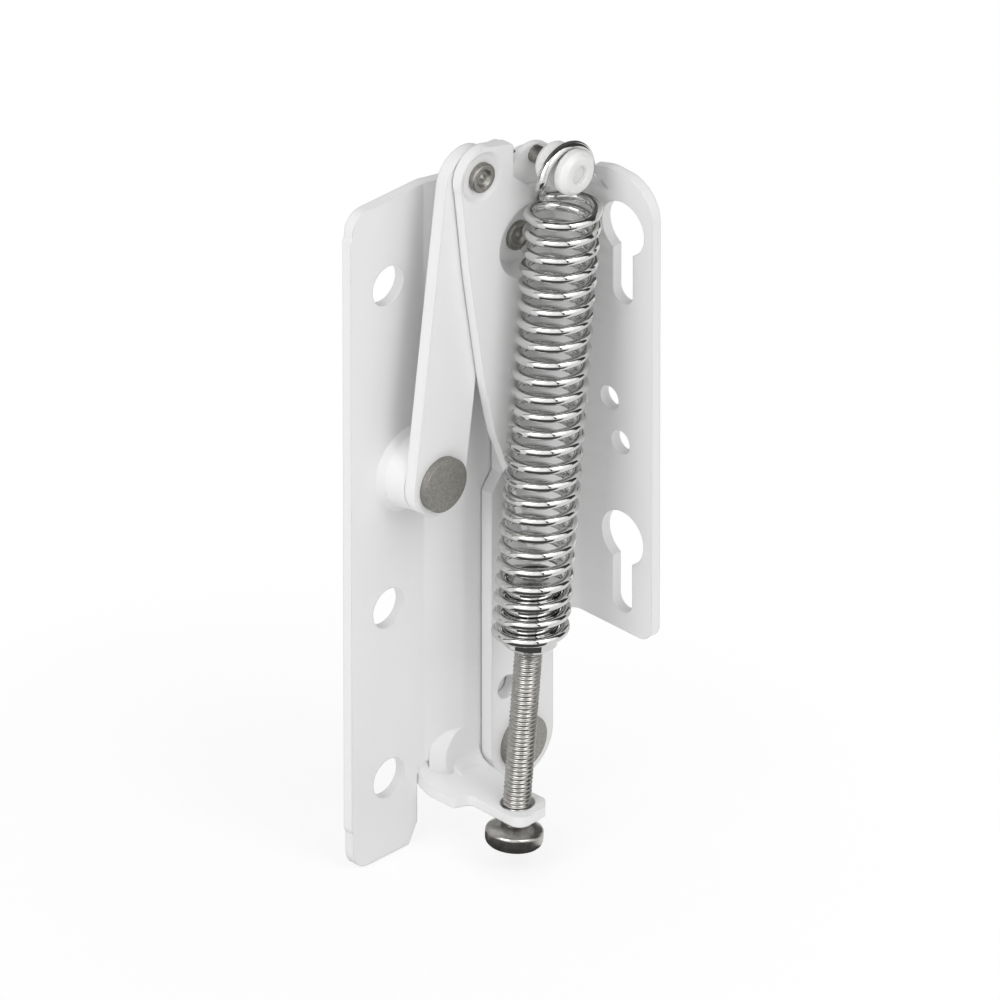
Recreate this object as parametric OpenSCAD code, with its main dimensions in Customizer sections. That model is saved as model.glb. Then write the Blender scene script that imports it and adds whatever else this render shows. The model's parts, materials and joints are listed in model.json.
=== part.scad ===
// Spring-loaded lid stay: a base bracket, two arms, a lid bracket and a tension spring that is set by a screw.
// X points away from the side panel, Y to the back, Z up. The mounting face of the base bracket is at X = 0.
// The stay stands open, with the lid upright on the back of the lid bracket.

/* [Base bracket] */
// Sheet thickness of the base bracket
base_t = 2; // [1.6:0.1:2.2]
// Height of the mounting flange
base_h = 130; // [127:1:140]
// Width of the mounting flange
flange_w = 16; // [15:0.5:17]
// Width of the bracket with its web
base_w = 41; // [40:0.5:43]
// Gap between the panel and the back of the web
web_gap = 2.4; // [2:0.1:2.6]
// Diameter of the three screw holes
screw_hole_d = 7.5; // [5:0.1:8]
// Distance of the screw holes from the front edge
screw_hole_y = 9; // [8:0.1:10]
// Height of the lowest screw hole
screw_hole_z = 15.3; // [10:0.1:18]
// Spacing of the lower two screw holes
lower_spacing = 34; // [30:0.5:36]
// Spacing of the upper two screw holes
upper_spacing = 64; // [60:0.5:68]

/* [Spring tab] */
// Height of the top face of the tab
tab_top = 11.8; // [11:0.1:13]
// Reach of the tab from the mounting face
tab_reach = 24.2; // [24:0.1:25]
// Distance of the front edge of the tab from the front of the flange
tab_front = 16.2; // [16.1:0.1:17]
// Greatest lean of the adjusting screw in the hole of the tab, in degrees
screw_lean = 27.4; // [27:0.1:28]

/* [Pivots] */
// Front-to-back place of the lower pivot of the short arm
short_low_y = 13.9; // [13.4:0.1:14.3]
// Height of the lower pivot of the short arm
short_low_z = 75.4; // [74:0.1:76.5]
// Front-to-back place of the lower pivot of the long arm
long_low_y = 36.2; // [35.8:0.1:36.6]
// Height of the lower pivot of the long arm
long_low_z = 13.8; // [13.2:0.1:14.4]
// Front-to-back place of the upper pivot of the short arm
short_high_y = 21.8; // [21.4:0.1:22.2]
// Height of the upper pivot of the short arm
short_high_z = 133.5; // [133:0.1:134.2]
// Front-to-back place of the upper pivot of the long arm
long_high_y = 33; // [32.7:0.1:33.3]
// Height of the upper pivot of the long arm
long_high_z = 116.7; // [116:0.1:117.4]

/* [Arms] */
// Thickness of both arms
arm_t = 2.5; // [2.3:0.1:2.6]
// Width of the short arm
short_arm_w = 12.4; // [11.5:0.1:12.8]
// Width of the lower part of the long arm
long_arm_w = 15; // [14:0.1:16]
// Gap between one arm or bracket and the next
play = 0.2; // [0.2:0.05:0.3]

/* [Rivets] */
// Diameter of the flat heads of the lower rivets
low_head_d = 10; // [9:0.1:10.6]
// Thickness of the flat rivet heads
low_head_t = 1.4; // [1:0.1:1.5]
// Diameter of the shanks of the lower rivets
low_shank_d = 6; // [5:0.1:6.5]
// Diameter of the rims of the upper rivets
high_head_d = 5.4; // [5:0.1:6]
// Diameter of the shanks of the upper rivets
high_shank_d = 4; // [3.6:0.1:4.2]
// Radial clearance of an arm on its rivet
rivet_clearance = 0.05; // [0.03:0.01:0.09]

/* [Lid bracket] */
// Sheet thickness of the lid bracket
lid_t = 2; // [1.6:0.1:2.2]
// Front face of the lid flange, measured from the front of the base
lid_front = 44; // [43.8:0.1:45]
// Reach of the lid flange from the mounting face of the base
lid_reach = 31.2; // [30.4:0.2:34]
// Lower end of the lid flange
lid_low = 39.7; // [38:0.1:41]
// Upper end of the lid flange
lid_high = 130; // [129.6:0.1:131]
// Diameter of the head hole of a keyhole
key_d = 10.2; // [9:0.1:10.4]
// Width of the slot of a keyhole
key_slot_w = 4.8; // [4:0.1:5.5]
// Distance from the head hole down to the end of the slot
key_drop = 12.4; // [11:0.1:13]
// Distance of the keyholes from the free edge of the lid flange
key_edge = 7.1; // [6.6:0.1:7.8]
// Height of the head hole of the lower keyhole
key_low_z = 58.1; // [56:0.1:60]
// Spacing of the keyholes
key_spacing = 61.3; // [60:0.1:62]
// Diameter of the two pilot holes
pilot_d = 4.4; // [3:0.1:4.6]

/* [Spring] */
// Outer diameter of the spring
spring_d = 13.6; // [13.2:0.1:13.7]
// Wire diameter of the spring
wire_d = 1.8; // [1.5:0.1:1.9]
// Number of turns
turns = 25; // [21:1:26]
// Distance of the spring axis from the mounting face of the base
spring_x = 19.4; // [19.4:0.1:19.6]
// Place of the screw in the tab, measured from the front of the base
screw_y = 22.8; // [22.6:0.1:23]

/* [Spool] */
// Front-to-back place of the spool
spool_y = 35.4; // [35.2:0.1:35.6]
// Height of the spool
spool_z = 132.6; // [132.4:0.1:132.8]
// Diameter of the spool at its groove
groove_d = 6.4; // [6:0.1:6.6]
// Diameter of the nose of the spool
nose_d = 8.3; // [7.6:0.1:8.6]
// Distance of the groove from the mounting face of the base
groove_x = 18.9; // [18.8:0.1:19.1]
// Diameter of the stud that carries the spool
stud_d = 2.6; // [2.2:0.1:2.8]

/* [Adjusting screw] */
// Thread diameter of the adjusting screw
thread_d = 5; // [4:0.1:5.2]
// Diameter of the screw head
screw_head_d = 10.2; // [9:0.1:10.5]
// Height of the cylindrical rim of the screw head
screw_head_h = 3; // [2.6:0.1:3.4]
// Outer diameter of the plug in the spring
plug_d = 9.8; // [9.2:0.1:9.9]

/* [Hidden] */
$fn = 64;
eps = 0.01;

white = [0.93, 0.93, 0.92];
steel = [0.5, 0.49, 0.47];
bright = [0.75, 0.75, 0.76];
nylon = [0.96, 0.96, 0.94];

short_low = [short_low_y, short_low_z];
long_low = [long_low_y, long_low_z];
short_high = [short_high_y, short_high_z];
long_high = [long_high_y, long_high_z];

// Layers, outwards from the panel
web_x = web_gap;
web_front = web_x + base_t;
long_x = web_front + play;
long_front = long_x + arm_t;
short_x = long_front + play;
short_front = short_x + arm_t;
lid_x = short_front + play;
lid_x1 = lid_x + lid_t;
key_x = lid_reach - key_edge;

// Raised seat under the lower end of the short arm
seat_x = short_x - 0.1;
seat_r = short_arm_w / 2;
seat_base_r = seat_r + 1;

// Dish of the lid bracket round the upper pivot of the long arm
dish_back = long_front + 0.2;
dish_floor = dish_back + lid_t;
dish_r = 5.1;
dish_rim_r = 6.9;

// Ear of the lid bracket that carries the spool
ear_coin = 0.8;
ear_r = 6.3;
ear_y = spool_y - 0.6;
ear_z = spool_z - 4.4;

// Line of the spring, from the middle of the tab's hole up to the groove of the spool
// It leans to the back, and a little to the side
tab_mid = tab_top - base_t / 2;
lean = atan2(spool_y - screw_y, spool_z - tab_mid);
line_len = norm([groove_x - spring_x, spool_y - screw_y, spool_z - tab_mid]);
side_lean = asin((groove_x - spring_x) / line_len);
coil_r = (spring_d - wire_d) / 2;
hook_r = coil_r;
hook_w = line_len + groove_d / 2 + wire_d / 2 + 0.05 - hook_r;
coil_top = hook_w - 4.25;
coil_low = 33.6;

// Draws a profile of the Y and Z axes and gives it a thickness along X
module plate(x, t) {
    translate([x, 0, 0]) rotate([90, 0, 90]) linear_extrude(t) children();
}

// Round bar or hole along X at a place p of the Y and Z axes
module bar(p, x, t, d) {
    translate([x, p[0], p[1]]) rotate([0, 90, 0]) cylinder(d = d, h = t);
}

// Cone along X from diameter d1 to d2
module taper(p, x, t, d1, d2) {
    translate([x, p[0], p[1]]) rotate([0, 90, 0]) cylinder(d1 = d1, d2 = d2, h = t);
}

// Flat link of thickness t at x, from a round end of radius ra at a to one of radius rb at b
module band(x, t, a, b, ra, rb) {
    d = norm(b - a);
    turn = atan2(b[1] - a[1], b[0] - a[0]);
    flank = acos((ra - rb) / d);
    way = [cos(turn), sin(turn)];
    up = [cos(turn + flank), sin(turn + flank)];
    down = [cos(turn - flank), sin(turn - flank)];
    bar(a, x, t, 2 * ra);
    bar(b, x, t, 2 * rb);
    plate(x, t) polygon([a + ra * up, a + ra * down, b + rb * down, b + rb * up]);
}

// Corner p of the polyline o, p, q cut back to an arc of radius r
function fillet(o, p, q, r, n = 6) =
    let (
        u = (o - p) / norm(o - p), v = (q - p) / norm(q - p),
        half = acos(u * v) / 2,
        back = r / tan(half),
        mid = p + (u + v) / norm(u + v) * r / sin(half),
        a = p + u * back - mid, b = p + v * back - mid,
        turn = cross(a, b) > 0 ? acos(a * b / (r * r)) : -acos(a * b / (r * r)),
        from = atan2(a[1], a[0])
    )
    [for (i = [0:n]) mid + r * [cos(from + turn * i / n), sin(from + turn * i / n)]];

// Outline through the points [x, y, radius], each corner rounded by its own radius
function rounded(pts, n = 6) =
    let (m = len(pts))
    [for (i = [0:m - 1])
        let (
            o = pts[(i + m - 1) % m], p = pts[i], q = pts[(i + 1) % m]
        )
        each (p[2] == 0
            ? [[p[0], p[1]]]
            : fillet([o[0], o[1]], [p[0], p[1]], [q[0], q[1]], p[2], n))];

// Base bracket: flange, joggled web with the raised seat, and the spring tab
tab_bend_r = 3.2;
bend_top = tab_top + tab_bend_r;
ramp_start = flange_w + 1.6;
ramp_end = 25;
ramp_shift = base_t * tan(atan2(web_gap, ramp_end - ramp_start) / 2);
slit_z = 12.4;
corner_back = 0.4;
web_low_z = 6.6;
web_low_y = 30.2;
tip_back = 27.3;
tip_front = 18.9;
screw_hole_heights = [
    screw_hole_z, screw_hole_z + lower_spacing, screw_hole_z + lower_spacing + upper_spacing
];

module base_section() {
    polygon(rounded([
        [0, -1, 0], [base_t, -1, 0], [base_t, ramp_start, 2], [web_front, ramp_end, 4],
        [web_front, base_w + 1, 0], [web_x, base_w + 1, 0],
        [web_x, ramp_end + ramp_shift, 2], [0, ramp_start + ramp_shift, 4]
    ]));
}

module base_outline() {
    polygon(rounded([
        [corner_back, 0, 3.4], [flange_w - 2.2, 0, 0.4], [flange_w - 0.1, 3.8, 0.4], [flange_w - 0.1, slit_z + 0.8, 0.14],
        [tab_front, slit_z + 0.8, 0], [tab_front, bend_top, 0], [web_low_y - 1.4, bend_top, 0],
        [web_low_y - 1.4, slit_z + 0.6, 0.6], [web_low_y, slit_z + 0.6, 0.6], [web_low_y, web_low_z, 0.5],
        [base_w, web_low_z, 5], [base_w, base_h, 14],
        [corner_back, base_h, 3.6], [corner_back, base_h - 4.2, 0.3], [0, base_h - 5, 0.3],
        [0, 8.2, 0.3], [corner_back, 7.4, 0.3]
    ]));
}

module base_sheet() {
    intersection() {
        plate(-1, web_front + 2) base_outline();
        linear_extrude(base_h + 1) base_section();
    }
}

module tab_outline() {
    polygon(rounded([
        [0, tab_front, 0], [10.7, tab_front, 0.3], [12, tip_front + 0.3, 1.6], [tab_reach, tip_front, 2.2],
        [tab_reach - 0.5, 25.6, 1.2], [tab_reach - 2.2, tip_back, 1.4],
        [14, tip_back, 4], [8, 28.7, 2], [0, 28.7, 0]
    ]));
}

// Bend of the tab out of a sheet whose back is at x
module tab_section(x) {
    polygon(rounded([
        [x, 19, 0], [x, tab_top - base_t, tab_bend_r + base_t], [tab_reach + 1, tab_top - base_t, 0],
        [tab_reach + 1, tab_top, 0], [x + base_t, tab_top, tab_bend_r], [x + base_t, 19, 0]
    ]));
}

module tab_slice(x, from, to, top) {
    intersection() {
        translate([0, to, 0]) rotate([90, 0, 0]) linear_extrude(to - from) tab_section(x);
        linear_extrude(top) tab_outline();
    }
}

// Swelling of the web into the bend of the tab
module web_swell() {
    intersection() {
        taper([ramp_end + 0.5, 15], web_x, base_t, 14.4, 10);
        translate([0, tab_front, 11]) cube([web_front, web_low_y - 1.6 - tab_front, 14]);
    }
}

// One tilted hole, wide enough for the screw at every lean
module screw_hole() {
    mean = (lean + screw_lean) / 2;
    swing = (screw_lean - lean) / 2;
    translate([spring_x, screw_y, tab_mid]) rotate([-mean, 0, 0])
        cylinder(d = thread_d + 0.2 + 3 * tan(swing) + 0.15, h = 16, center = true);
}

module base_bracket() {
    color(white) difference() {
        union() {
            base_sheet();
            tab_slice(0, tab_front, 24, bend_top + 0.9);
            tab_slice(web_x, 22.5, web_low_y - 1.4, bend_top + 0.9);
            web_swell();
            taper(short_low, base_t - 0.2, seat_x - base_t + 0.2, 2 * seat_base_r, 2 * seat_r);
            taper(short_low, base_t - 0.2, 1.4, 2 * seat_base_r + 2.2, 2 * seat_base_r - 0.8);
        }
        for (z = screw_hole_heights) bar([screw_hole_y, z], -1, base_t + 2, screw_hole_d);
        taper(short_low, -1, seat_x - base_t + 1, 2 * seat_base_r - 3.2, 2 * seat_r - 3.4);
        bar(short_low, 0, seat_x + 1, low_shank_d);
        bar(long_low, 0, web_front + 1, low_shank_d);
        screw_hole();
    }
}

// Short arm, a straight flat link
module short_arm() {
    color(white) difference() {
        union() band(short_x, arm_t, short_low, short_high - [0.3, 1.6], short_arm_w / 2, short_arm_w / 2);
        bar(short_low, short_x - 1, arm_t + 2, low_shank_d);
        bar(short_high, short_x - 1, arm_t + 2, high_shank_d + 2 * rivet_clearance);
        taper(short_high, short_x - eps, 1.05, high_shank_d + 2.5, high_shank_d + 2 * rivet_clearance);
    }
}

// Long arm: a wide strip below, a narrower one above the step, a round end, and a lug for the stop pin
step_low_z = 65.8;
step_high_z = 69;
arm_left = long_low_y - 7.1;
arm_right = arm_left + long_arm_w;
low_round = [arm_left + long_arm_w / 2, long_low_z];
narrow_left = arm_left + 2.4;
head_r = (arm_right - narrow_left) / 2;
head = [arm_right - head_r, 124];
pin_d = 6.4;
pin_at = [31.2, 130.5];
window_d = 4.5;
window = [32.8, 25.9];

module long_arm_blank() {
    plate(long_x, arm_t) polygon([
        [arm_left, low_round[1]], [arm_right, low_round[1]], [arm_right, head[1]],
        [narrow_left, head[1]], [narrow_left, step_high_z], [arm_left, step_low_z]
    ]);
    bar(low_round, long_x, arm_t, long_arm_w);
    bar(head, long_x, arm_t, 2 * head_r);
    band(long_x, arm_t, long_high, pin_at, 6.5, 3.6);
}

module long_arm() {
    color(white) difference() {
        union() long_arm_blank();
        bar(long_low, long_x - 1, arm_t + 2, low_shank_d + 2 * rivet_clearance);
        bar(long_high, long_x - 1, arm_t + 2, high_shank_d + 2 * rivet_clearance);
        taper(long_high, long_x - eps, 1.05, high_shank_d + 2.5, high_shank_d + 2 * rivet_clearance);
        bar(window, long_x - 1, arm_t + 2, window_d);
        bar(pin_at, long_x - 1, arm_t + 2, 3);
    }
}

// Stop pin on the long arm, which the end of the short arm meets when the lid is open
module stop_pin() {
    color(steel) {
        bar(pin_at, long_x, arm_t, 3);
        bar(pin_at, long_front, 1.5, pin_d);
    }
}

// Lid bracket: web with a recess and a dish, the ear of the spool, and the flange with its keyholes
fold_r = 2;
fold_x = lid_x1 + fold_r;
fold_y = lid_front - fold_r;
lobe_r = 5.5;
lobe = short_high + [0.4, 0];
lobe_top = short_high_z + 3.7;
lobe_right = short_high_y + 7.7;
notch_low = 125.7;

module lid_web_outline() {
    polygon(rounded([
        [lobe[0] - lobe_r + 0.3, lobe[1] - 1.6, 0], [19.1, 114.2, 40], [21.3, 100.4, 40],
        [22.8, 91.2, 30], [25, 81.5, 20], [27.6, 75, 10], [40, lid_low, 0], [fold_y, lid_low, 0],
        [fold_y, notch_low, 0], [36, notch_low, 0], [33.5, 129.1, 0.4], [lobe_right, 132.6, 0.6],
        [lobe_right, lobe_top, 1.1], [lobe[0] + 1.4, lobe[1] + lobe_r - 0.2, 0], [lobe[0], lobe[1], 0]
    ]));
    translate(lobe) circle(r = lobe_r);
}

module lid_flange_outline() {
    polygon(rounded([
        [fold_x, lid_low, 0], [lid_reach, lid_low, 3], [lid_reach, lid_high - 1.6, 7], [lid_reach - 6.2, lid_high - 0.2, 6],
        [20.5, lid_high, 8], [15.4, lid_high - 1.5, 0.6], [17, lid_high - 2.4, 0.8],
        [20.4, notch_low + 0.2, 0.15], [20.2, notch_low, 0.1], [fold_x, notch_low, 0]
    ]));
}

module lid_fold() {
    translate([fold_x, fold_y, lid_low]) rotate([0, 0, 90]) rotate_extrude(angle = 90)
        translate([fold_r, 0]) square([lid_t, notch_low - lid_low]);
}

module keyhole(z) {
    translate([key_x, lid_front + lid_t + 1, z]) rotate([90, 0, 0]) {
        cylinder(d = key_d, h = lid_t + 2);
        translate([-key_slot_w / 2 + eps, -key_drop, 0]) cube([key_slot_w - 2 * eps, key_drop, lid_t + 2]);
        translate([0, -key_drop, 0]) cylinder(d = key_slot_w, h = lid_t + 2);
    }
}

module pilot(x, z) {
    translate([x, lid_front + lid_t + 1, z]) rotate([90, 0, 0]) cylinder(d = pilot_d, h = lid_t + 2);
}

module lid_bracket() {
    color(white) difference() {
        union() {
            difference() {
                union() {
                    plate(lid_x, lid_t) lid_web_outline();
                    plate(lid_x, lid_t) translate([ear_y, ear_z]) circle(r = ear_r);
                }
                plate(lid_x1 - ear_coin, ear_coin + 1) polygon([
                    [lobe_right + 0.1, 134], [lobe_right + 0.1, 130.6], [33.2, 127.4], [37, 126.4],
                    [42, 126.4], [42, 140], [lobe_right + 0.1, 140]
                ]);
            }
            lid_fold();
            translate([0, lid_front + lid_t, 0]) rotate([90, 0, 0]) linear_extrude(lid_t) lid_flange_outline();
            taper(long_high, dish_back, lid_x - dish_back + 0.4, 2 * dish_r + 1.6, 2 * dish_rim_r - 0.6);
        }
        taper(long_high, dish_floor, lid_x1 - dish_floor + eps, 2 * dish_r, 2 * dish_rim_r);
        taper(short_high, lid_x1 - 0.5, 0.5 + eps, 8, 9.6);
        bar(short_high, lid_x - 1, lid_t + 2, high_shank_d);
        bar(long_high, dish_back - 1, lid_t + 2, high_shank_d);
        bar([spool_y, spool_z], lid_x - 1, lid_t + 3, stud_d);
        for (i = [0, 1]) keyhole(key_low_z + i * key_spacing);
        pilot(key_x - 3.2, 84.7);
        pilot(key_x - 0.5, 76.9);
    }
}

// Lower rivet of the long arm, fixed in the web
module long_arm_lower_rivet() {
    color(steel) {
        bar(long_low, web_x - 0.8, long_front + 0.1 - web_x + 0.8, low_shank_d);
        bar(long_low, long_front + 0.05, low_head_t, low_head_d);
        bar(long_low, web_x - 1, 1, low_shank_d + 1);
    }
}

// Lower rivet of the short arm: the pivot at which the linkage is opened, so it is made in two halves
module short_arm_lower_rivet_head() {
    color(steel) {
        bar(short_low, short_x, arm_t, low_shank_d);
        bar(short_low, short_front, low_head_t, low_head_d);
    }
}

module short_arm_lower_rivet_tail() {
    color(steel) {
        bar(short_low, seat_x - base_t, base_t, low_shank_d);
        bar(short_low, seat_x - base_t - 1, 1, low_shank_d + 1.2);
    }
}

// Tubular rivet with a rolled rim round a dimple
module tubular_rivet(p, back, face, rim_x) {
    translate([0, p[0], p[1]]) rotate([0, 90, 0]) rotate_extrude() polygon(rounded([
        [0, back, 0], [high_shank_d / 2 + 1.1, back, 0], [high_shank_d / 2, back + 0.95, 0],
        [high_shank_d / 2, face, 0], [high_head_d / 2, face, 0], [high_head_d / 2, face + rim_x, 0.35],
        [high_head_d / 2 - 1, face + rim_x, 0.45], [high_head_d / 2 - 1.5, face + rim_x - 0.6, 0.2],
        [0.7, face + rim_x - 0.6, 0.2], [0, face + rim_x - 0.2, 0]
    ], 3));
}

module short_arm_upper_rivet() {
    color(steel) tubular_rivet(short_high, short_x + 0.05, lid_x1 - 0.5, 1.2);
}

module long_arm_upper_rivet() {
    color(steel) tubular_rivet(long_high, long_x + 0.05, dish_floor + 0.05, 0.8);
}

// Stud of the spool, riveted in the ear
spool_end = 22.3;
spool_start = 14.6;

module spool_stud() {
    color(steel) {
        bar([spool_y, spool_z], lid_x, spool_end - 2 - lid_x, stud_d);
        bar([spool_y, spool_z], lid_x1 - ear_coin, spool_start - 0.2 - lid_x1 + ear_coin, stud_d + 0.6);
    }
}

// Nylon spool that turns on the stud, with the groove of the spring's hook
module spring_spool() {
    g = groove_d / 2;
    b = stud_d / 2 + 0.06;
    w = wire_d / 2;
    color(nylon) translate([0, spool_y, spool_z]) rotate([0, 90, 0]) rotate_extrude() polygon(rounded([
        [b, spool_start, 0], [3.3, spool_start, 0.4], [3.9, spool_start + 0.9, 0.4], [3.9, groove_x - w - 0.9, 0.2],
        [4.2, groove_x - w - 0.6, 0.15], [4.2, groove_x - w - 0.1, 0.15], [g, groove_x - w + 0.1, 0.4],
        [g, groove_x + w - 0.1, 0.4], [nose_d / 2, groove_x + w + 0.1, 0.4], [nose_d / 2, spool_end - 0.8, 0.6],
        [nose_d / 2 - 0.9, spool_end, 0.5], [1.8, spool_end, 0.2], [1.6, spool_end - 0.8, 0],
        [0, spool_end - 0.8, 0], [0, spool_end - 1.8, 0], [b, spool_end - 1.8, 0]
    ], 3));
}

// Moves its children from the line of the spring, upright at the origin, to their place in the tab
module on_line() {
    translate([spring_x, screw_y, tab_mid]) rotate([-lean, 0, 0]) rotate([0, side_lean, 0]) children();
}

// Direction of a line of points at point i
function along(pts, i) =
    let (a = pts[max(i - 1, 0)], b = pts[min(i + 1, len(pts) - 1)])
    (b - a) / norm(b - a);
// Part of u square to the direction d, of length 1
function square_to(u, d) = let (v = u - (u * d) * d) v / norm(v);

// Wire swept along points, with a ring of sides corners at each point that is carried along without twist
module wire(pts, r, sides = 8) {
    n = len(pts);
    ways = [for (i = [0:n - 1]) along(pts, i)];
    ups = [for (i = 0, u = square_to([0, 0, 1], ways[0]); i < n;
        i = i + 1, u = i < n ? square_to(u, ways[i]) : u) u];
    polyhedron(
        points = [for (i = [0:n - 1], k = [0:sides - 1])
            pts[i] + r * (cos(360 * k / sides) * ups[i] + sin(360 * k / sides) * cross(ways[i], ups[i]))],
        faces = concat(
            [[for (k = [0:sides - 1]) k]],
            [for (i = [0:n - 2], k = [0:sides - 1])
                [i * sides + k, (i + 1) * sides + k, (i + 1) * sides + (k + 1) % sides, i * sides + (k + 1) % sides]],
            [[for (k = [0:sides - 1]) n * sides - 1 - k]]
        )
    );
}

// Points of the spring: right-handed coils, the closed end of the last one, and the loop over the spool
per_turn = 14;
last_angle = 200;
steps = turns * per_turn;
open_steps = steps - 6;
pitch = (coil_top - coil_low) / turns;
coil_points = [for (i = [0:open_steps])
    let (a = last_angle - 360 * (steps - i) / per_turn, z = coil_low + pitch * i / per_turn)
    [coil_r * cos(a), coil_r * sin(a), z]];
end_z = coil_low + pitch * open_steps / per_turn;
closed_points = [for (p = [[72, 0.05], [98, 0], [125, -0.25], [157, -0.5], [173, -0.35]])
    [coil_r * cos(p[0]), coil_r * sin(p[0]), end_z + p[1]]];
rise_points = [
    [-5.6, -0.3, end_z + 0.3],
    [-4.6, -1.4, end_z + 1.5],
    [-3.2, -2.9, end_z + 2.8],
    [-1.7, -4.4, end_z + 4.1],
    [-0.6, -5.5, end_z + 5.2]
];
hook_points = [for (i = [0:14])
    let (a = 172 - 184 * i / 14)
    [0, hook_r * cos(a), hook_w + hook_r * sin(a)]];

module tension_spring() {
    color(bright) on_line() wire(concat(coil_points, closed_points, rise_points, hook_points), wire_d / 2);
}

// Plug that carries the foot of the spring on the thread of the screw
plug_low = coil_low - 1.9;
plug_h = 13;
module spring_plug() {
    color(bright) on_line() difference() {
        translate([0, 0, plug_low]) union() {
            cylinder(d1 = plug_d - 0.8, d2 = plug_d, h = 0.5);
            translate([0, 0, 0.5]) cylinder(d = plug_d, h = plug_h - 0.5);
        }
        translate([0, 0, plug_low - 1]) cylinder(d = thread_d + 0.1, h = plug_h + 2);
    }
}

// Adjusting screw with its rimmed head under the tab
socket_w = 4;
socket_deep = 2.4;
head_top = -3.9;
neck = -2.5;
screw_tip = 44;
module adjusting_screw() {
    r = screw_head_d / 2;
    color(steel) on_line() difference() {
        rotate_extrude() polygon(rounded([
            [0, head_top - screw_head_h, 0], [r, head_top - screw_head_h, 1.3], [r, head_top, 0.3],
            [thread_d / 2, neck, 0], [thread_d / 2, screw_tip, 0.5], [0, screw_tip, 0]
        ], 4));
        translate([0, 0, head_top - screw_head_h - 1]) cylinder(d = socket_w / cos(30), h = socket_deep + 1, $fn = 6);
    }
}

base_bracket();
short_arm();
long_arm();
lid_bracket();
long_arm_lower_rivet();
long_arm_upper_rivet();
short_arm_upper_rivet();
short_arm_lower_rivet_head();
short_arm_lower_rivet_tail();
stop_pin();
spool_stud();
spring_spool();
tension_spring();
spring_plug();
adjusting_screw();
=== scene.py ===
"""Lid stay: the white sheet parts, the rivets, the coil spring and the threaded adjusting screw."""

import json
import math

import bpy
from mathutils import Matrix, Vector


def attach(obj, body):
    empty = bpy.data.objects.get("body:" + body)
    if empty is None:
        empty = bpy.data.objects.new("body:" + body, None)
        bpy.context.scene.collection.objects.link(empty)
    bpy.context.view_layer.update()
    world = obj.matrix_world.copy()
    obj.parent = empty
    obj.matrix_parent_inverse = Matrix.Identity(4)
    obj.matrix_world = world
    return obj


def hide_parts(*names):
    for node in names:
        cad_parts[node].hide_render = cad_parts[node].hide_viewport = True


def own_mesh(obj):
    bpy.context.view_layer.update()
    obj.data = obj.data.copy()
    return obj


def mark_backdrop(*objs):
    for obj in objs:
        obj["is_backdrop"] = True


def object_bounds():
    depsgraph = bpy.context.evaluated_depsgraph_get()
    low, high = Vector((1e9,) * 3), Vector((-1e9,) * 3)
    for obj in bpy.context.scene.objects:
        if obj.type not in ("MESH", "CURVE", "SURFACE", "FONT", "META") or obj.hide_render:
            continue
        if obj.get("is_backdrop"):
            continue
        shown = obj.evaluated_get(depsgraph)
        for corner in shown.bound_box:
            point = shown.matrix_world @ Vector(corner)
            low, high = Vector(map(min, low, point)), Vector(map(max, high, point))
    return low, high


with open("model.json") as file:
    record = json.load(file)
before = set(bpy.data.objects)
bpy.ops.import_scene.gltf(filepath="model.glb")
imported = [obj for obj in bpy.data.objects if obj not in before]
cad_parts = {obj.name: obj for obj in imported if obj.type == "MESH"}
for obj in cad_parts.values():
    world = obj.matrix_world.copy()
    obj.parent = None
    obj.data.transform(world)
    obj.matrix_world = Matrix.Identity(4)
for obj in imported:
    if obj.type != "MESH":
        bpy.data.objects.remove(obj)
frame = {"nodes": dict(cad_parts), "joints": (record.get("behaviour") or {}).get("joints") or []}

bl_info = {
    "name": "Lid stay",
    "version": (1, 0, 0),
    "blender": (4, 5, 0),
    "location": "3D View > Sidebar > Lid Stay",
    "description": "Finishes the sheet parts and makes the spring and the screw of a lid stay",
    "category": "Object",
}

MM = 0.001

# The joint of the screw gives the middle of the tab's hole and the line of the spring
JOINTS = {joint["name"]: joint for joint in frame["joints"]}
SWIVEL = Vector(JOINTS["screw_turn"]["pos_m"])
LINE = Vector(JOINTS["screw_turn"]["axis"]).normalized()
SPOOL = Vector(JOINTS["spool_turn"]["pos_m"])

SHEET_NODES = ("base_bracket", "short_arm", "long_arm", "lid_bracket")
RIVET_NODES = (
    "long_arm_lower_rivet",
    "long_arm_upper_rivet",
    "short_arm_upper_rivet",
    "short_arm_lower_rivet_head",
    "short_arm_lower_rivet_tail",
    "stop_pin",
    "spool_stud",
)


def length(name, text, mm):
    return bpy.props.FloatProperty(
        name=name, description=text, default=mm * MM, min=0.0, unit="LENGTH", precision=5
    )


def colour(name, text, rgb):
    return bpy.props.FloatVectorProperty(
        name=name, description=text, default=rgb, min=0.0, max=1.0, size=3, subtype="COLOR"
    )


class LIDSTAY_PG_spring(bpy.types.PropertyGroup):
    wire: length("Wire", "Diameter of the spring's wire", 1.8)
    coil: length("Coil", "Mean radius of the coils", 5.9)
    foot: length("Foot", "Distance of the first coil from the tab, along the spring's line", 33.6)
    groove: length("Groove", "Radius of the spool's groove", 3.2)
    turns: bpy.props.FloatProperty(
        name="Turns",
        description="Turns of the spring from its foot to the rise of the loop",
        default=25.0,
        min=1.0,
    )
    sides: bpy.props.IntProperty(
        name="Sides", description="Sides of the wire's section", default=14, min=6, max=32
    )


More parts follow.
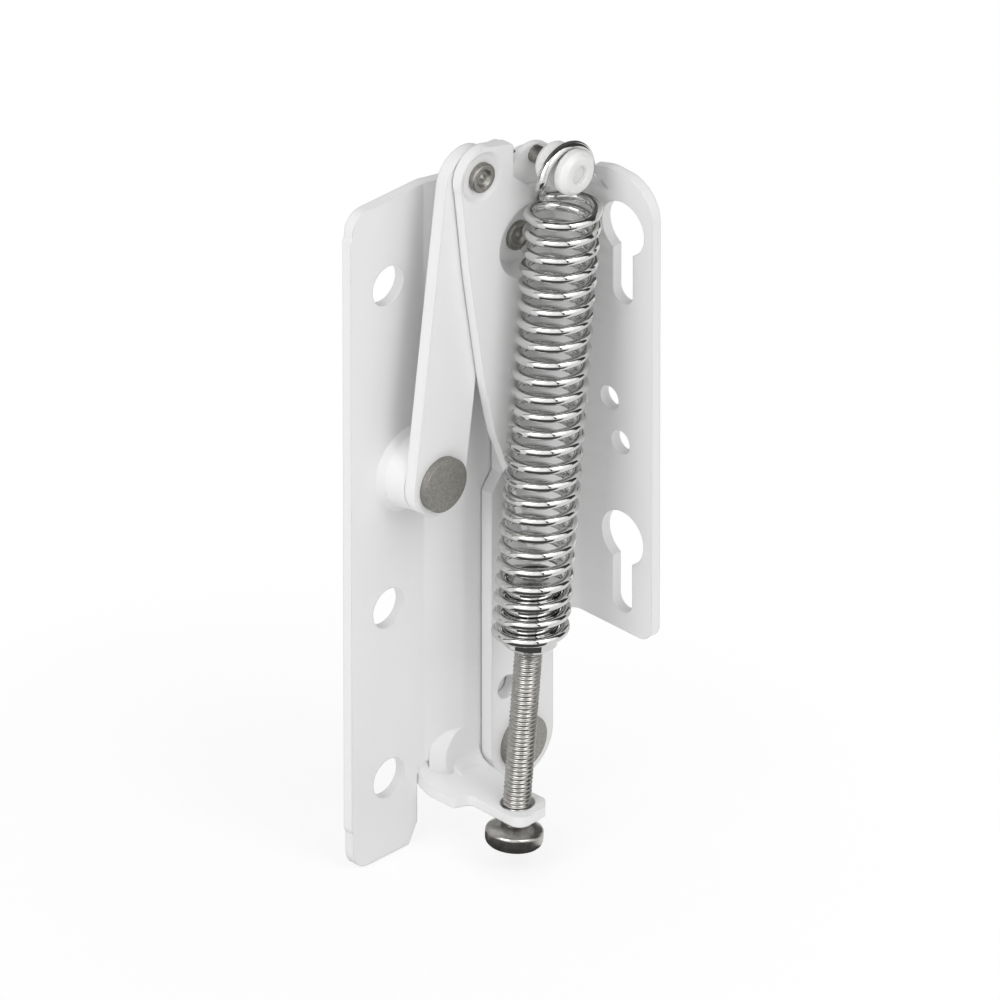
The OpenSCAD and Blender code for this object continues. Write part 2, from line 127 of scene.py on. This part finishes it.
class LIDSTAY_PG_screw(bpy.types.PropertyGroup):
    thread: length("Thread", "Outer diameter of the thread", 5.0)
    pitch: length("Pitch", "Rise of the thread in a turn", 0.8)
    depth: length("Depth", "Depth of the thread", 0.42)
    head: length("Head", "Diameter of the screw's head", 10.2)
    socket: length("Socket", "Width of the hexagon socket across its flats", 4.0)
    socket_depth: length("Socket depth", "Depth of the hexagon socket", 2.4)
    neck: length("Neck", "Distance of the head's neck below the middle of the tab", 2.5)
    tip: length("Tip", "Distance of the screw's tip above the middle of the tab", 44.0)


class LIDSTAY_PG_finish(bpy.types.PropertyGroup):
    coat: colour("Powder coat", "Colour of the sheet parts", (0.83, 0.83, 0.83))
    rivet: colour("Rivet steel", "Colour of the rivets", (0.30, 0.29, 0.27))
    wire: colour("Bright wire", "Colour of the spring", (0.62, 0.62, 0.61))
    zinc: colour("Zinc", "Colour of the adjusting screw", (0.42, 0.41, 0.39))
    nylon: colour("Nylon", "Colour of the spool", (0.78, 0.78, 0.77))
    edge: length("Edge", "Radius that the coat gives to the sheet's edges", 0.35)


class LIDSTAY_PG_stage(bpy.types.PropertyGroup):
    backdrop: colour("Backdrop", "Colour of the floor", (0.97, 0.97, 0.97))
    ambient: bpy.props.FloatProperty(
        name="Ambient", description="Strength of the even light from all round", default=0.55, min=0.0
    )
    distance: bpy.props.FloatProperty(
        name="Distance",
        description="Distance of the camera from the part",
        default=6.0,
        min=0.5,
        unit="LENGTH",
    )
    frame_width: bpy.props.FloatProperty(
        name="Frame width",
        description="Width that the picture shows at the part",
        default=0.1724,
        unit="LENGTH",
    )


# Materials


def new_material(name):
    material = bpy.data.materials.new(name)
    material.use_nodes = True
    tree = material.node_tree
    return material, tree, tree.nodes["Principled BSDF"]


def grain(tree, shader, scale, strength, distance, rounded=0.0):
    """Fine relief on the shader's normal, over edges rounded by a radius."""
    place = tree.nodes.new("ShaderNodeTexCoord")
    noise = tree.nodes.new("ShaderNodeTexNoise")
    noise.inputs["Scale"].default_value = scale
    noise.inputs["Detail"].default_value = 3.0
    tree.links.new(place.outputs["Object"], noise.inputs["Vector"])
    bump = tree.nodes.new("ShaderNodeBump")
    bump.inputs["Strength"].default_value = strength
    bump.inputs["Distance"].default_value = distance
    tree.links.new(noise.outputs["Fac"], bump.inputs["Height"])
    if rounded > 0.0:
        edge = tree.nodes.new("ShaderNodeBevel")
        edge.samples = 6
        edge.inputs["Radius"].default_value = rounded
        tree.links.new(edge.outputs["Normal"], bump.inputs["Normal"])
    tree.links.new(bump.outputs["Normal"], shader.inputs["Normal"])
    return noise


def mottle(tree, shader, noise, rgb, dark, light):
    """Base colour that wanders with the noise; dark and light are (place on the ramp, factor)."""
    tone = tree.nodes.new("ShaderNodeValToRGB")
    for element, (place, factor) in zip(tone.color_ramp.elements, (dark, light)):
        element.position = place
        element.color = (*[factor * c for c in rgb], 1.0)
    tree.links.new(noise.outputs["Fac"], tone.inputs["Fac"])
    tree.links.new(tone.outputs["Color"], shader.inputs["Base Color"])


def powder_coat_material(finish):
    material, tree, shader = new_material("white powder coat")
    shader.inputs["Base Color"].default_value = (*finish.coat, 1.0)
    shader.inputs["Roughness"].default_value = 0.32
    shader.inputs["Specular IOR Level"].default_value = 0.45
    grain(tree, shader, 260.0, 0.10, 0.0002, finish.edge)
    return material


def rivet_material(finish):
    material, tree, shader = new_material("plain rivet steel")
    shader.inputs["Metallic"].default_value = 1.0
    noise = grain(tree, shader, 1900.0, 0.35, 0.00006, 0.15 * MM)
    noise.inputs["Detail"].default_value = 5.0
    mottle(tree, shader, noise, finish.rivet, (0.3, 0.85), (0.72, 1.25))
    shader.inputs["Roughness"].default_value = 0.45
    return material


def wire_material(finish):
    material, tree, shader = new_material("bright nickel wire")
    shader.inputs["Base Color"].default_value = (*finish.wire, 1.0)
    shader.inputs["Metallic"].default_value = 1.0
    shader.inputs["Roughness"].default_value = 0.07
    return material


def zinc_material(finish):
    material, tree, shader = new_material("zinc plate")
    shader.inputs["Metallic"].default_value = 1.0
    noise = grain(tree, shader, 900.0, 0.15, 0.00005)
    mottle(tree, shader, noise, finish.zinc, (0.3, 0.8), (0.7, 1.2))
    shader.inputs["Roughness"].default_value = 0.28
    return material


def nylon_material(finish):
    material, tree, shader = new_material("translucent nylon")
    shader.inputs["Base Color"].default_value = (*finish.nylon, 1.0)
    shader.inputs["Roughness"].default_value = 0.3
    shader.inputs["Subsurface Weight"].default_value = 0.6
    shader.inputs["Subsurface Radius"].default_value = (1.0, 1.0, 0.95)
    shader.inputs["Subsurface Scale"].default_value = 2.0 * MM
    return material


def dress(names, material):
    for name in names:
        node = frame["nodes"][name]
        node.data.materials.clear()
        node.data.materials.append(material)


# Geometry Nodes helpers


def modifier_tree(name, sockets):
    """A geometry tree with an input for each (name, kind, default)."""
    tree = bpy.data.node_groups.new(name, "GeometryNodeTree")
    tree.interface.new_socket("Geometry", in_out="INPUT", socket_type="NodeSocketGeometry")
    identifiers = {}
    for label, kind, default in sockets:
        socket = tree.interface.new_socket(label, in_out="INPUT", socket_type="NodeSocket" + kind)
        socket.default_value = default
        identifiers[label] = socket.identifier
    tree.interface.new_socket("Geometry", in_out="OUTPUT", socket_type="NodeSocketGeometry")
    return tree, tree.nodes.new("NodeGroupInput"), tree.nodes.new("NodeGroupOutput"), identifiers


def math_node(tree, operation, first, second=None):
    node = tree.nodes.new("ShaderNodeMath")
    node.operation = operation
    for socket, value in zip(node.inputs, (first, second)):
        if value is None:
            continue
        if isinstance(value, (int, float)):
            socket.default_value = value
        else:
            tree.links.new(value, socket)
    return node.outputs[0]


def hand_out(tree, geometry, material, out):
    """Shades the geometry smooth, makes it real, paints it and links it to the tree's output."""
    smooth = tree.nodes.new("GeometryNodeSetShadeSmooth")
    tree.links.new(geometry, smooth.inputs["Geometry"])
    real = tree.nodes.new("GeometryNodeRealizeInstances")
    tree.links.new(smooth.outputs["Geometry"], real.inputs["Geometry"])
    paint = tree.nodes.new("GeometryNodeSetMaterial")
    paint.inputs["Material"].default_value = material
    tree.links.new(real.outputs["Geometry"], paint.inputs["Geometry"])
    tree.links.new(paint.outputs["Geometry"], out.inputs["Geometry"])


def finished_mesh(name, start, tree, values, body):
    """The plain mesh that the tree makes of the start object, riding on a body."""
    start.modifiers.new("Shape", "NODES").node_group = tree
    for identifier, value in values.items():
        start.modifiers["Shape"][identifier] = value
    bpy.context.view_layer.update()
    evaluated = start.evaluated_get(bpy.context.evaluated_depsgraph_get())
    mesh = bpy.data.meshes.new_from_object(evaluated)
    bpy.data.objects.remove(start)
    mesh.name = name
    piece = bpy.data.objects.new(name, mesh)
    bpy.context.scene.collection.objects.link(piece)
    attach(piece, body)
    return piece


def on_line():
    """Turns the spring's own upright frame to its place in the row frame."""
    up = LINE
    back = up.cross(Vector((1.0, 0.0, 0.0))).normalized()
    side = back.cross(up)
    turn = Matrix((side, back, up)).transposed().to_4x4()
    return Matrix.Translation(SWIVEL) @ turn


# Spring

# Angle in degrees at which the even helix would end
LAST_ANGLE = 200.0
STEPS_PER_TURN = 40
# Share of a turn, before the last angle, where the last coil leaves the even helix
OPEN_SHARE = 155.0 / 360.0
# The closed end of the last coil: angles in degrees and heights in mm
CLOSED_END = ((72.0, 0.1), (98.0, 0.0), (125.0, -0.25), (157.0, -0.5), (172.0, -0.35))
# The wire then crosses over to the plane of the loop: sideways, back and up in mm
RISE = ((-5.6, -0.3, 0.3), (-4.6, -1.4, 1.5), (-3.2, -2.9, 2.8), (-1.7, -4.4, 4.1), (-0.6, -5.5, 5.2))
LOOP_FROM, LOOP_TO, LOOP_STEPS = 172.0, -12.0, 30
COILS_BELOW_LOOP = 4.25 * MM
LOOP_CLEARANCE = 0.05 * MM
# Rounds of averaging that soften the crossing
SOFTENING = 16


def spring_path(spring):
    """Points from the foot of the spring, through its coils, and round the loop over the spool."""
    loop_z = (SPOOL - SWIVEL).length + spring.groove + spring.wire / 2 + LOOP_CLEARANCE - spring.coil
    top = loop_z - COILS_BELOW_LOOP
    pitch = (top - spring.foot) / spring.turns

    def at(angle, height):
        turn = math.radians(angle)
        return Vector((spring.coil * math.cos(turn), spring.coil * math.sin(turn), height))

    turns = spring.turns - OPEN_SHARE
    steps = int(turns * STEPS_PER_TURN)
    coils = []
    for i in range(steps + 1):
        back = OPEN_SHARE + turns * (1.0 - i / steps)
        coils.append(at(LAST_ANGLE - 360.0 * back, top - pitch * back))
    end_z = coils[-1].z
    bend = [at(angle, end_z + rise * MM) for angle, rise in CLOSED_END]
    bend += [Vector((x * MM, y * MM, end_z + z * MM)) for x, y, z in RISE]
    loop = []
    for i in range(LOOP_STEPS + 1):
        turn = math.radians(LOOP_FROM + (LOOP_TO - LOOP_FROM) * i / LOOP_STEPS)
        loop.append(Vector((0.0, spring.coil * math.cos(turn), loop_z + spring.coil * math.sin(turn))))
    return coils[:-1] + smooth_curve([coils[-4], coils[-1]] + bend + [loop[0], loop[2]]) + loop[1:]


def smooth_curve(knots, steps=8):
    """Points of a smooth curve from the second knot to the last but one."""
    curve = []
    for a, b, c, d in zip(knots, knots[1:], knots[2:], knots[3:]):
        for i in range(steps):
            t = i / steps
            curve.append(
                0.5
                * (
                    2 * b
                    + (c - a) * t
                    + (2 * a - 5 * b + 4 * c - d) * t * t
                    + (3 * b - a - 3 * c + d) * t * t * t
                )
            )
    curve.append(knots[-2])
    for _ in range(SOFTENING):
        inner = [(p + 2 * q + r) / 4 for p, q, r in zip(curve, curve[1:], curve[2:])]
        curve = [curve[0], *inner, curve[-1]]
    return curve


def wire_tree(material):
    """Sweeps a round section along the curve and closes its ends."""
    tree, entry, out, names = modifier_tree("Spring wire", [("Wire", "Float", 0.0018), ("Sides", "Int", 14)])
    circle = tree.nodes.new("GeometryNodeCurvePrimitiveCircle")
    tree.links.new(entry.outputs["Sides"], circle.inputs["Resolution"])
    tree.links.new(math_node(tree, "DIVIDE", entry.outputs["Wire"], 2.0), circle.inputs["Radius"])
    sweep = tree.nodes.new("GeometryNodeCurveToMesh")
    sweep.inputs["Fill Caps"].default_value = True
    tree.links.new(entry.outputs["Geometry"], sweep.inputs["Curve"])
    tree.links.new(circle.outputs["Curve"], sweep.inputs["Profile Curve"])
    hand_out(tree, sweep.outputs["Mesh"], material, out)
    return tree, names


class LIDSTAY_OT_spring(bpy.types.Operator):
    """Winds the tension spring with its loop over the spool"""

    bl_idname = "lidstay.spring"
    bl_label = "Wind the spring"

    def execute(self, context):
        spring = context.scene.lidstay_spring
        place = on_line()
        data = bpy.data.curves.new("spring path", "CURVE")
        data.dimensions = "3D"
        spline = data.splines.new("POLY")
        path = [place @ point for point in spring_path(spring)]
        spline.points.add(len(path) - 1)
        for point, at in zip(spline.points, path):
            point.co = (*at, 1.0)
        start = bpy.data.objects.new("spring path", data)
        context.scene.collection.objects.link(start)
        tree, names = wire_tree(wire_material(context.scene.lidstay_finish))
        piece = finished_mesh(
            "coil_spring", start, tree, {names["Wire"]: spring.wire, names["Sides"]: spring.sides}, "spring"
        )
        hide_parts("tension_spring")
        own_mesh(piece)
        return {"FINISHED"}


# Screw

# Heights of the head's underside and of its rim, from the middle of the tab
HEAD_LOW, HEAD_RIM = -6.9 * MM, -3.9 * MM
HEAD_SIDES = 64
ROD_SIDES, ROD_RINGS = 40, 420
HEXAGON = [math.radians(60.0 * i) for i in range(6)]


def thread_tree(material):
    """A rod whose surface is cut by a V thread, from the neck of the head to the tip."""
    tree, entry, out, names = modifier_tree(
        "Screw thread",
        [(label, "Float", MM) for label in ("Thread", "Pitch", "Depth", "Length")],
    )
    rod = tree.nodes.new("GeometryNodeMeshCylinder")
    rod.fill_type = "NGON"
    rod.inputs["Vertices"].default_value = ROD_SIDES
    rod.inputs["Side Segments"].default_value = ROD_RINGS
    tree.links.new(entry.outputs["Length"], rod.inputs["Depth"])
    tree.links.new(math_node(tree, "DIVIDE", entry.outputs["Thread"], 2.0), rod.inputs["Radius"])
    at = tree.nodes.new("GeometryNodeInputPosition")
    parts = tree.nodes.new("ShaderNodeSeparateXYZ")
    tree.links.new(at.outputs["Position"], parts.inputs["Vector"])
    turn = math_node(tree, "ARCTAN2", parts.outputs["Y"], parts.outputs["X"])
    rise = math_node(tree, "DIVIDE", parts.outputs["Z"], entry.outputs["Pitch"])
    phase = math_node(tree, "SUBTRACT", rise, math_node(tree, "DIVIDE", turn, 2.0 * math.pi))
    wave = math_node(tree, "ABSOLUTE", math_node(tree, "SUBTRACT", math_node(tree, "FRACT", phase), 0.5))
    cut = math_node(tree, "MINIMUM", math_node(tree, "MULTIPLY", wave, 2.4), 1.0)
    depth = math_node(tree, "MULTIPLY", cut, entry.outputs["Depth"])
    radius = math_node(tree, "DIVIDE", entry.outputs["Thread"], 2.0)
    share = math_node(tree, "DIVIDE", math_node(tree, "SUBTRACT", radius, depth), radius)
    x = math_node(tree, "MULTIPLY", parts.outputs["X"], share)
    y = math_node(tree, "MULTIPLY", parts.outputs["Y"], share)
    joined = tree.nodes.new("ShaderNodeCombineXYZ")
    tree.links.new(x, joined.inputs["X"])
    tree.links.new(y, joined.inputs["Y"])
    tree.links.new(parts.outputs["Z"], joined.inputs["Z"])
    move = tree.nodes.new("GeometryNodeSetPosition")
    tree.links.new(rod.outputs["Mesh"], move.inputs["Geometry"])
    tree.links.new(joined.outputs["Vector"], move.inputs["Position"])
    hand_out(tree, move.outputs["Geometry"], material, out)
    return tree, names


def turned(name, profile, segments, material, body):
    """A closed piece turned round the spring's line from points of (radius, height)."""
    verts, faces = [], []
    rings = []
    for radius, height in profile:
        if radius < 1e-9:
            rings.append([len(verts)])
            verts.append((0.0, 0.0, height))
            continue
        rings.append(list(range(len(verts), len(verts) + segments)))
        for i in range(segments):
            angle = 2.0 * math.pi * i / segments
            verts.append((radius * math.cos(angle), radius * math.sin(angle), height))
    for low, high in zip(rings, rings[1:]):
        for i in range(segments):
            j = (i + 1) % segments
            if len(low) == 1:
                faces.append((low[0], high[j], high[i]))
            elif len(high) == 1:
                faces.append((low[i], low[j], high[0]))
            else:
                faces.append((low[i], low[j], high[j], high[i]))
    mesh = bpy.data.meshes.new(name)
    mesh.from_pydata(verts, [], faces)
    mesh.transform(on_line())
    mesh.materials.append(material)
    mesh.shade_smooth()
    mesh.update()
    piece = bpy.data.objects.new(name, mesh)
    bpy.context.scene.collection.objects.link(piece)
    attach(piece, body)
    return piece


def rounded_profile(corners, steps=5):
    """Points of (radius, height) with each corner (radius, height, rounding) rounded."""
    points = [Vector(corners[0][:2])]
    for before, at, after in zip(corners, corners[1:], corners[2:]):
        corner, rounding = Vector(at[:2]), at[2]
        if rounding <= 0.0:
            points.append(corner)
            continue
        a = corner + (Vector(before[:2]) - corner).normalized() * rounding
        b = corner + (Vector(after[:2]) - corner).normalized() * rounding
        for i in range(steps + 1):
            t = i / steps
            points.append((1 - t) ** 2 * a + 2 * t * (1 - t) * corner + t * t * b)
    return points + [Vector(corners[-1][:2])]


def hollow(head, screw):
    """Sinks the hexagon socket in the underside of the screw's head."""
    corners = [screw.socket / math.sqrt(3.0) * Vector((math.cos(a), math.sin(a))) for a in HEXAGON]
    low, high = HEAD_LOW - MM, HEAD_LOW + screw.socket_depth
    mesh = bpy.data.meshes.new("socket")
    verts = [(c.x, c.y, z) for z in (low, high) for c in corners]
    sides = [(i, (i + 1) % 6, 6 + (i + 1) % 6, 6 + i) for i in range(6)]
    mesh.from_pydata(verts, [], [tuple(range(5, -1, -1)), tuple(range(6, 12))] + sides)
    mesh.transform(on_line())
    cutter = bpy.data.objects.new("socket", mesh)
    bpy.context.scene.collection.objects.link(cutter)
    cut = head.modifiers.new("Socket", "BOOLEAN")
    cut.object, cut.operation, cut.solver = cutter, "DIFFERENCE", "EXACT"
    bpy.context.view_layer.update()
    evaluated = head.evaluated_get(bpy.context.evaluated_depsgraph_get())
    head.data = bpy.data.meshes.new_from_object(evaluated)
    head.modifiers.clear()
    bpy.data.objects.remove(cutter)


class LIDSTAY_OT_screw(bpy.types.Operator):
    """Cuts the thread of the adjusting screw and turns its head"""

    bl_idname = "lidstay.screw"
    bl_label = "Make the adjusting screw"

    def execute(self, context):
        screw = context.scene.lidstay_screw
        zinc = zinc_material(context.scene.lidstay_finish)
        start = bpy.data.objects.new("rod", bpy.data.meshes.new("rod"))
        context.scene.collection.objects.link(start)
        tree, names = thread_tree(zinc)
        span = screw.tip + screw.neck - 0.1 * MM
        values = {
            names["Thread"]: screw.thread,
            names["Pitch"]: screw.pitch,
            names["Depth"]: screw.depth,
            names["Length"]: span,
        }
        rod = finished_mesh("screw_thread", start, tree, values, "screw")
        rod.data.transform(on_line() @ Matrix.Translation((0.0, 0.0, span / 2 - screw.neck)))
        radius = screw.head / 2
        top = 0.2 * MM - screw.neck
        head = turned(
            "screw_head",
            rounded_profile(
                [
                    (0.0, HEAD_LOW, 0.0),
                    (radius, HEAD_LOW, 1.5 * MM),
                    (radius, HEAD_RIM, 0.45 * MM),
                    (screw.thread / 2 - screw.depth, top, 0.0),
                    (0.0, top, 0.0),
                ]
            ),
            HEAD_SIDES,
            zinc,
            "screw",
        )
        hollow(head, screw)
        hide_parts("adjusting_screw")
        return {"FINISHED"}


# Finishes of the solid parts


class LIDSTAY_OT_sheet(bpy.types.Operator):
    """Coats the brackets and the arms"""

    bl_idname = "lidstay.sheet"
    bl_label = "Coat the sheet parts"

    def execute(self, context):
        dress(SHEET_NODES, powder_coat_material(context.scene.lidstay_finish))
        return {"FINISHED"}


class LIDSTAY_OT_rivets(bpy.types.Operator):
    """Finishes the rivets, the pins and the plug"""

    bl_idname = "lidstay.rivets"
    bl_label = "Finish the rivets"

    def execute(self, context):
        finish = context.scene.lidstay_finish
        dress(RIVET_NODES, rivet_material(finish))
        dress(("spring_plug",), wire_material(finish))
        return {"FINISHED"}


class LIDSTAY_OT_spool(bpy.types.Operator):
    """Finishes the nylon spool"""

    bl_idname = "lidstay.spool"
    bl_label = "Finish the spool"

    def execute(self, context):
        dress(("spring_spool",), nylon_material(context.scene.lidstay_finish))
        return {"FINISHED"}


# Stage

# The middle of the picture, as a point inside the part
LOOK_AT = Vector((0.012, 0.0262, 0.0679))
AZIMUTH, ELEVATION = 45.0, 30.0
SENSOR = 36.0

FLOOR_HALF = 0.5
# The floor and the card on it lie a little below the part
FLOOR_DROP, CARD_DROP = 0.25 * MM, 0.12 * MM
# Distances on the floor between which its shadows fade, and the share of white near the part
FADE_FROM, FADE_TO, NEAR_WHITE = 0.03, 0.11, 0.8

# Softboxes: name, azimuth, elevation, distance, size and energy
SOFTBOXES = (
    ("left softbox", 5.0, 38.0, 1.0, (0.55, 0.7), 3.75),
    ("right softbox", 88.0, 42.0, 1.0, (0.5, 0.7), 2.85),
)
# Cards that only the metal shows: name, azimuth, elevation, distance, size and brightness
CARDS = (
    ("pale card at the left", 19.0, 36.0, 1.5, (2.1, 2.3), 1.35),
    ("pale card at the right", 98.0, 36.0, 1.5, (1.45, 2.3), 1.35),
    ("card between the pale ones", 66.0, 30.0, 1.2, (0.11, 2.6), 0.02),
    ("card at the far right", 150.0, 20.0, 1.3, (0.9, 2.6), 0.06),
    ("card at the far left", -62.0, 20.0, 1.3, (1.5, 2.6), 0.22),
    ("card over the part", 45.0, 92.0, 1.3, (2.4, 1.0), 0.08),
    ("card at the back", 225.0, 30.0, 1.3, (2.6, 2.4), 0.12),
)
FLOOR_CARD = ("card before the foot", (0.14, -0.12), (0.30, 0.30), 0.08)


def facing(obj, place, towards):
    """Puts an object at a place and turns its -Z side towards a point."""
    obj.location = place
    obj.rotation_euler = (Vector(towards) - Vector(place)).to_track_quat("-Z", "Y").to_euler()
    bpy.context.scene.collection.objects.link(obj)
    return obj


def around(azimuth, elevation, distance):
    """A point round the middle of the part; azimuth 0 looks along +Y, 90 along -X."""
    a, e = math.radians(azimuth), math.radians(elevation)
    return LOOK_AT + distance * Vector((math.cos(e) * math.sin(a), -math.cos(e) * math.cos(a), math.sin(e)))


def softbox(name, azimuth, elevation, distance, size, energy):
    data = bpy.data.lights.new(name, "AREA")
    data.shape = "RECTANGLE"
    data.size, data.size_y = size
    data.energy = energy
    return facing(bpy.data.objects.new(name, data), around(azimuth, elevation, distance), LOOK_AT)


def card(name, place, towards, size, shade):
    """A card that only shows in reflections, as the flags and sheets of a studio do."""
    w, h = size[0] / 2, size[1] / 2
    mesh = bpy.data.meshes.new(name)
    mesh.from_pydata([(-w, -h, 0), (w, -h, 0), (w, h, 0), (-w, h, 0)], [], [(0, 1, 2, 3)])
    material = bpy.data.materials.new(name)
    material.use_nodes = True
    tree = material.node_tree
    tree.nodes.remove(tree.nodes["Principled BSDF"])
    glow = tree.nodes.new("ShaderNodeEmission")
    glow.inputs["Color"].default_value = (shade, shade, shade, 1.0)
    tree.links.new(glow.outputs[0], tree.nodes["Material Output"].inputs["Surface"])
    mesh.materials.append(material)
    piece = facing(bpy.data.objects.new(name, mesh), place, towards)
    piece.visible_camera = False
    piece.visible_diffuse = False
    piece.visible_shadow = False
    piece.visible_transmission = False
    return piece


def white_for_the_view(tree, shade, out_socket, share=None):
    """Mixes white, or a share of it, over the shade for camera, glossy and transmission rays."""
    path = tree.nodes.new("ShaderNodeLightPath")
    seen = math_node(tree, "MAXIMUM", path.outputs["Is Camera Ray"], path.outputs["Is Transmission Ray"])
    seen = math_node(tree, "MAXIMUM", seen, path.outputs["Is Glossy Ray"])
    if share is not None:
        seen = math_node(tree, "MULTIPLY", seen, share)
    in_world = out_socket.node.type == "OUTPUT_WORLD"
    glow = tree.nodes.new("ShaderNodeBackground" if in_world else "ShaderNodeEmission")
    glow.inputs["Color"].default_value = (1.0, 1.0, 1.0, 1.0)
    glow.inputs["Strength"].default_value = 1.0
    mix = tree.nodes.new("ShaderNodeMixShader")
    tree.links.new(seen, mix.inputs["Fac"])
    tree.links.new(shade, mix.inputs[1])
    tree.links.new(glow.outputs[0], mix.inputs[2])
    tree.links.new(mix.outputs[0], out_socket)


def whiter_with_distance(tree):
    """Share of white on the floor, less near the part so that its shadow stays."""
    place = tree.nodes.new("ShaderNodeTexCoord")
    far = tree.nodes.new("ShaderNodeVectorMath")
    far.operation = "LENGTH"
    tree.links.new(place.outputs["Object"], far.inputs[0])
    spread = tree.nodes.new("ShaderNodeMapRange")
    spread.inputs["From Min"].default_value = FADE_FROM
    spread.inputs["From Max"].default_value = FADE_TO
    spread.inputs["To Min"].default_value = NEAR_WHITE
    spread.inputs["To Max"].default_value = 1.0
    tree.links.new(far.outputs["Value"], spread.inputs["Value"])
    return spread.outputs["Result"]


def white_floor(height, backdrop):
    """The floor, as a square of the backdrop's colour."""
    half = FLOOR_HALF
    mesh = bpy.data.meshes.new("floor")
    corners = [(-half, -half), (half, -half), (half, half), (-half, half)]
    mesh.from_pydata([(x, y, height) for x, y in corners], [], [(0, 1, 2, 3)])
    floor = bpy.data.objects.new("floor", mesh)
    bpy.context.scene.collection.objects.link(floor)
    material, tree, shader = new_material("pale floor")
    shader.inputs["Base Color"].default_value = (*backdrop, 1.0)
    shader.inputs["Roughness"].default_value = 0.9
    mesh.materials.append(material)
    surface = tree.nodes["Material Output"].inputs["Surface"]
    white_for_the_view(tree, shader.outputs["BSDF"], surface, whiter_with_distance(tree))
    return floor


class LIDSTAY_OT_stage(bpy.types.Operator):
    """Sets the floor, the lamps, the world and the camera"""

    bl_idname = "lidstay.stage"
    bl_label = "Set the stage"

    def execute(self, context):
        stage = context.scene.lidstay_stage
        scene = context.scene
        scene.view_settings.view_transform = "Standard"

        world = bpy.data.worlds.new("studio")
        scene.world = world
        world.use_nodes = True
        nodes = world.node_tree
        shade = nodes.nodes["Background"]
        shade.inputs["Color"].default_value = (1.0, 1.0, 1.0, 1.0)
        shade.inputs["Strength"].default_value = stage.ambient
        white_for_the_view(nodes, shade.outputs["Background"], nodes.nodes["World Output"].inputs["Surface"])

        floor_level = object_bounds()[0][2]
        pieces = [white_floor(floor_level - FLOOR_DROP, stage.backdrop)]
        for name, azimuth, elevation, distance, size, energy in SOFTBOXES:
            pieces.append(softbox(name, azimuth, elevation, distance, size, energy))
        for name, azimuth, elevation, distance, size, shade in CARDS:
            pieces.append(card(name, around(azimuth, elevation, distance), LOOK_AT, size, shade))
        name, at, size, shade = FLOOR_CARD
        place = Vector((*at, floor_level - CARD_DROP))
        pieces.append(card(name, place, place + Vector((0.0, 0.0, 1.0)), size, shade))
        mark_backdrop(*pieces)

        data = bpy.data.cameras.new("camera")
        data.sensor_width = SENSOR
        data.lens = SENSOR * stage.distance / stage.frame_width
        data.clip_start, data.clip_end = 0.05, 30.0
        camera = bpy.data.objects.new("camera", data)
        scene.camera = facing(camera, around(AZIMUTH, ELEVATION, stage.distance), LOOK_AT)
        return {"FINISHED"}


OPERATORS = (
    LIDSTAY_OT_sheet,
    LIDSTAY_OT_rivets,
    LIDSTAY_OT_spool,
    LIDSTAY_OT_spring,
    LIDSTAY_OT_screw,
    LIDSTAY_OT_stage,
)


class LIDSTAY_PT_panel(bpy.types.Panel):
    """Lists the steps that dress the lid stay"""

    bl_idname = "LIDSTAY_PT_panel"
    bl_label = "Lid Stay"
    bl_space_type = "VIEW_3D"
    bl_region_type = "UI"
    bl_category = "Lid Stay"

    def draw(self, context):
        for operator in OPERATORS:
            self.layout.operator(operator.bl_idname)


GROUPS = {
    "lidstay_spring": LIDSTAY_PG_spring,
    "lidstay_screw": LIDSTAY_PG_screw,
    "lidstay_finish": LIDSTAY_PG_finish,
    "lidstay_stage": LIDSTAY_PG_stage,
}


def register():
    for cls in (*GROUPS.values(), *OPERATORS, LIDSTAY_PT_panel):
        bpy.utils.register_class(cls)
    for name, group in GROUPS.items():
        setattr(bpy.types.Scene, name, bpy.props.PointerProperty(type=group))


def unregister():
    for name in GROUPS:
        delattr(bpy.types.Scene, name)
    for cls in reversed((*GROUPS.values(), *OPERATORS, LIDSTAY_PT_panel)):
        bpy.utils.unregister_class(cls)


def main():
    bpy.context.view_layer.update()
    register()
    bpy.ops.lidstay.sheet()
    bpy.ops.lidstay.rivets()
    bpy.ops.lidstay.spool()
    bpy.ops.lidstay.spring()
    bpy.ops.lidstay.screw()
    bpy.ops.lidstay.stage()


if __name__ == "__main__":
    main()
